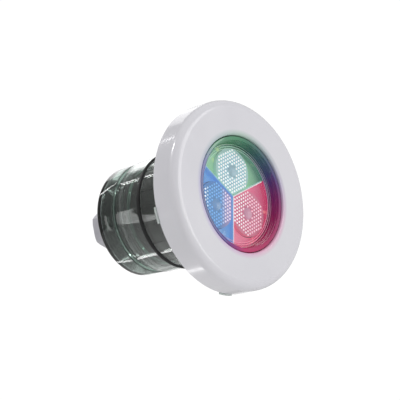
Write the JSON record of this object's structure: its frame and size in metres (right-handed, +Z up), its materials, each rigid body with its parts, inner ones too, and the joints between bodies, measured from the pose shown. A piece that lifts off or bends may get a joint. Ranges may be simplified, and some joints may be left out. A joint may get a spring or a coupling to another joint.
{
  "type": "underwater pool light",
  "caption": "Round wall-mounted underwater light with a white bayonet face ring, a clear tube behind it and a threaded cable gland.",
  "frame": {"origin": "on the lamp's axis in the plane of the wall, at the centre of the wall-screw circle", "axes": "-Y out of the face, +Y along the tube into the wall, +Z up"},
  "size_m": [0.1, 0.1016, 0.1012],
  "materials": {
    "white_shell": "glossy white ABS",
    "clear_soft": "clear soft PVC",
    "clear_plastic": "clear polycarbonate, polished",
    "dark_clear": "dark tinted acrylic",
    "window_plastic": "clear polycarbonate, polished",
    "clear_silicone": "clear silicone rubber",
    "seal_rubber": "black nitrile rubber",
    "reflector_green": "green lit tray, glossy",
    "reflector_blue": "blue lit tray, glossy",
    "reflector_red": "red lit tray, glossy",
    "lens_green": "clear acrylic lens lit green",
    "lens_blue": "clear acrylic lens lit blue",
    "lens_red": "clear acrylic lens lit red",
    "frame_black": "black nylon",
    "can_grey": "dark grey anodised aluminium",
    "pad_grey": "grey thermal pad",
    "board_white": "white solder mask on aluminium",
    "led_green": "silicone dome, lit green",
    "led_blue": "silicone dome, lit blue",
    "led_red": "silicone dome, lit red",
    "screw_steel": "zinc plated steel",
    "standoff_brass": "nickel-free brass",
    "board_green": "green solder mask on glass-epoxy",
    "ferrite": "ferrite core",
    "coil_copper": "enamelled copper winding",
    "capacitor_sleeve": "dark plastic sleeve",
    "chip_black": "moulded epoxy",
    "terminal_plastic": "green nylon",
    "lead_insulation": "silicone insulation",
    "potting_resin": "cast black epoxy",
    "gland_grey": "light grey nylon"
  },
  "bodies": {
    "lamp": {"mounting_flange": "white_shell", "housing": "clear_plastic", "rear_cap": "clear_plastic", "front_window": "window_plastic", "window_retainer": "dark_clear", "window_seal": "clear_silicone", "wall_seal": "seal_rubber", "flange_gasket": "seal_rubber", "cap_seal": "clear_silicone", "reflector_green": "reflector_green", "reflector_blue": "reflector_blue", "reflector_red": "reflector_red", "lens_green": "lens_green", "lens_blue": "lens_blue", "lens_red": "lens_red", "lens_frame": "frame_black", "can": "can_grey", "thermal_pad": "pad_grey", "led_board": "board_white", "led_green": "led_green", "led_blue": "led_blue", "led_red": "led_red", "board_screws": "screw_steel", "standoffs": "standoff_brass", "driver_board": "board_green", "driver_screws": "screw_steel", "inductor": "ferrite", "inductor_coil": "coil_copper", "capacitors": "capacitor_sleeve", "control_chip": "chip_black", "terminal_block": "terminal_plastic", "terminal_screws": "screw_steel", "led_leads": "lead_insulation", "potting_plug": "potting_resin", "gland_washer": "seal_rubber", "gland_body": "gland_grey", "gland_locknut": "gland_grey", "gland_seal": "seal_rubber"},
    "ring": {"face_ring": "white_shell", "rim_pads": "clear_soft"},
    "clamp_ring": {"gland_clamp_ring": "gland_grey"},
    "nut": {"gland_nut": "gland_grey"}
  },
  "joints": [
    {"name": "ring_twist", "type": "hinge", "parent": "lamp", "child": "ring", "pos_m": [0, 0, 0], "axis": [0, -1, 0], "range_deg": [0, 24]},
    {"name": "gland_ring_travel", "type": "slide", "parent": "lamp", "child": "clamp_ring", "axis": [0, 1, 0], "range_m": [0, 0.003]},
    {"name": "gland_nut_turn", "type": "hinge", "parent": "clamp_ring", "child": "nut", "pos_m": [0, 0.078, 0], "axis": [0, 1, 0], "range_deg": [0, 720]}
  ],
  "couplings": [
    {"joint": "gland_ring_travel", "follows": "gland_nut_turn", "m_per_rad": 0.0002387}
  ]
}
